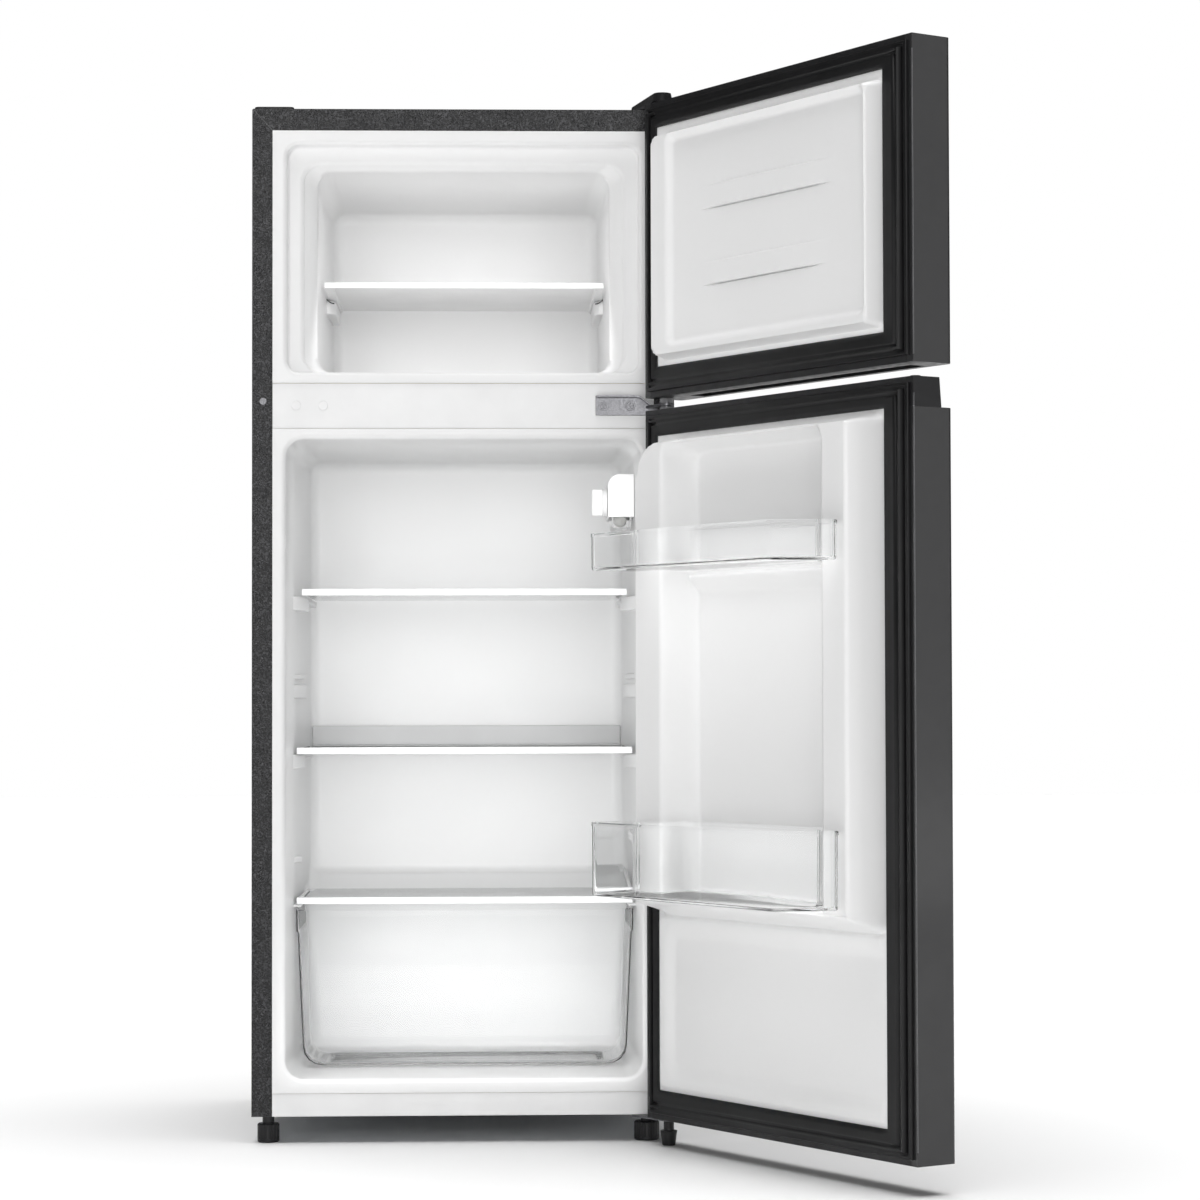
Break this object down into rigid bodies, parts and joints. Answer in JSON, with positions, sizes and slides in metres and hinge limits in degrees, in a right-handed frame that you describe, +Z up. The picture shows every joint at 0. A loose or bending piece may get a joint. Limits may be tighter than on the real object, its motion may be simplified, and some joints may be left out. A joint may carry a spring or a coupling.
{
  "type": "top freezer refrigerator",
  "caption": "Compact two-door refrigerator with a freezer on top, doors open, with shelves, crisper drawer, door bins and levelling feet.",
  "frame": {"origin": "bottom centre of the whole object's box as it stands with both doors open; Z = 0 is the floor that the feet stand on", "axes": "+Z up; -Y is the front, the side the compartments open to; +X is the hinge side"},
  "size_m": [0.7614, 0.9054, 1.224],
  "materials": {
    "stucco_steel": "satin",
    "door_steel": "satin",
    "galvanised_steel": "matte",
    "zinc_steel": "satin",
    "foam": "matte",
    "white_liner": "gloss",
    "white_plastic": "satin",
    "black_plastic": "satin",
    "grey_plastic": "satin",
    "gasket_rubber": "matte",
    "clear_plastic": "gloss",
    "shelf_trim_plastic": "gloss",
    "shelf_glass": "polished",
    "bulb_glass": "polished",
    "compressor_paint": "gloss",
    "copper": "satin",
    "aluminium": "satin"
  },
  "bodies": {
    "cabinet": {"outer_wrapper": "stucco_steel", "rear_panel": "galvanised_steel", "base_pan": "galvanised_steel", "recess_panel": "galvanised_steel", "compressor_plate": "galvanised_steel", "middle_hinge": "zinc_steel", "bottom_hinge": "zinc_steel", "top_hinge": "zinc_steel", "hinge_screws": "zinc_steel", "flange_screw": "zinc_steel", "foam_insulation": "foam", "freezer_liner": "white_liner", "fridge_liner": "white_liner", "divider_rail": "white_plastic", "divider_plugs": "white_plastic", "toe_rail": "white_plastic", "control_box": "white_plastic", "top_hinge_cover": "black_plastic", "spare_hinge_cover": "black_plastic", "relay_cover": "black_plastic", "water_tray": "black_plastic", "rear_feet": "black_plastic", "compressor_grommets": "gasket_rubber", "cord_gland": "gasket_rubber", "lamp_lens": "clear_plastic", "lamp_bulb": "bulb_glass", "compressor": "compressor_paint", "refrigerant_tubes": "copper", "filter_drier": "copper", "freezer_evaporator": "aluminium", "fridge_evaporator": "aluminium"},
    "freezer_door": {"freezer_door_skin": "door_steel", "freezer_door_top_cap": "black_plastic", "freezer_door_bottom_cap": "black_plastic", "freezer_door_foam": "foam", "freezer_door_liner": "white_liner", "freezer_door_gasket": "gasket_rubber", "freezer_door_bushes": "grey_plastic"},
    "fridge_door": {"fridge_door_skin": "door_steel", "fridge_door_top_cap": "black_plastic", "fridge_door_bottom_cap": "black_plastic", "fridge_door_foam": "foam", "fridge_door_liner": "white_liner", "fridge_door_gasket": "gasket_rubber", "fridge_door_bushes": "grey_plastic", "door_hole_plug": "black_plastic"},
    "upper_bin": {"upper_door_bin": "clear_plastic"},
    "lower_bin": {"lower_door_bin": "clear_plastic"},
    "freezer_rack": {"freezer_shelf": "white_plastic"},
    "upper_shelf": {"upper_shelf_glass": "shelf_glass", "upper_shelf_trim": "shelf_trim_plastic"},
    "lower_shelf": {"lower_shelf_glass": "shelf_glass", "lower_shelf_trim": "shelf_trim_plastic"},
    "crisper_lid": {"crisper_cover_glass": "shelf_glass", "crisper_cover_trim": "shelf_trim_plastic"},
    "crisper": {"crisper_drawer": "clear_plastic"},
    "knob": {"thermostat_knob": "white_plastic"},
    "left_foot": {"front_foot_left": "black_plastic"},
    "right_foot": {"front_foot_right": "black_plastic"},
    "pin_foot": {"hinge_foot": "black_plastic"}
  },
  "joints": [
    {"name": "freezer_door_swing", "type": "hinge", "parent": "cabinet", "child": "freezer_door", "pos_m": [0.10378, -0.02812, 1.0382], "axis": [0, 0, 1], "range_deg": [-121.6, 13.4]},
    {"name": "fridge_door_swing", "type": "hinge", "parent": "cabinet", "child": "fridge_door", "pos_m": [0.10378, -0.02812, 0.4418], "axis": [0, 0, 1], "range_deg": [-121.6, 13.4]},
    {"name": "upper_bin_lift", "type": "slide", "parent": "fridge_door", "child": "upper_bin", "axis": [0, 0, 1], "range_m": [0, 0.03]},
    {"name": "lower_bin_lift", "type": "slide", "parent": "fridge_door", "child": "lower_bin", "axis": [0, 0, 1], "range_m": [0, 0.03]},
    {"name": "freezer_shelf_slide", "type": "slide", "parent": "cabinet", "child": "freezer_rack", "axis": [0, -1, 0], "range_m": [0, 0.24]},
    {"name": "upper_shelf_slide", "type": "slide", "parent": "cabinet", "child": "upper_shelf", "axis": [0, -1, 0], "range_m": [0, 0.25]},
    {"name": "lower_shelf_slide", "type": "slide", "parent": "cabinet", "child": "lower_shelf", "axis": [0, -1, 0], "range_m": [0, 0.2]},
    {"name": "crisper_cover_slide", "type": "slide", "parent": "cabinet", "child": "crisper_lid", "axis": [0, -1, 0], "range_m": [0, 0.2]},
    {"name": "crisper_drawer_slide", "type": "slide", "parent": "cabinet", "child": "crisper", "axis": [0, -1, 0], "range_m": [0, 0.17]},
    {"name": "thermostat_turn", "type": "hinge", "parent": "cabinet", "child": "knob", "pos_m": [0.03078, 0.15868, 0.7562], "axis": [1, 0, 0], "range_deg": [-150, 150]},
    {"name": "left_foot_turn", "type": "hinge", "parent": "cabinet", "child": "left_foot", "pos_m": [-0.36222, 0.02368, 0.015], "axis": [0, 0, 1], "continuous": true},
    {"name": "right_foot_turn", "type": "hinge", "parent": "cabinet", "child": "right_foot", "pos_m": [0.08048, 0.02368, 0.015], "axis": [0, 0, 1], "continuous": true},
    {"name": "hinge_foot_turn", "type": "hinge", "parent": "cabinet", "child": "pin_foot", "pos_m": [0.10378, -0.02812, 0.015], "axis": [0, 0, 1], "continuous": true}
  ]
}
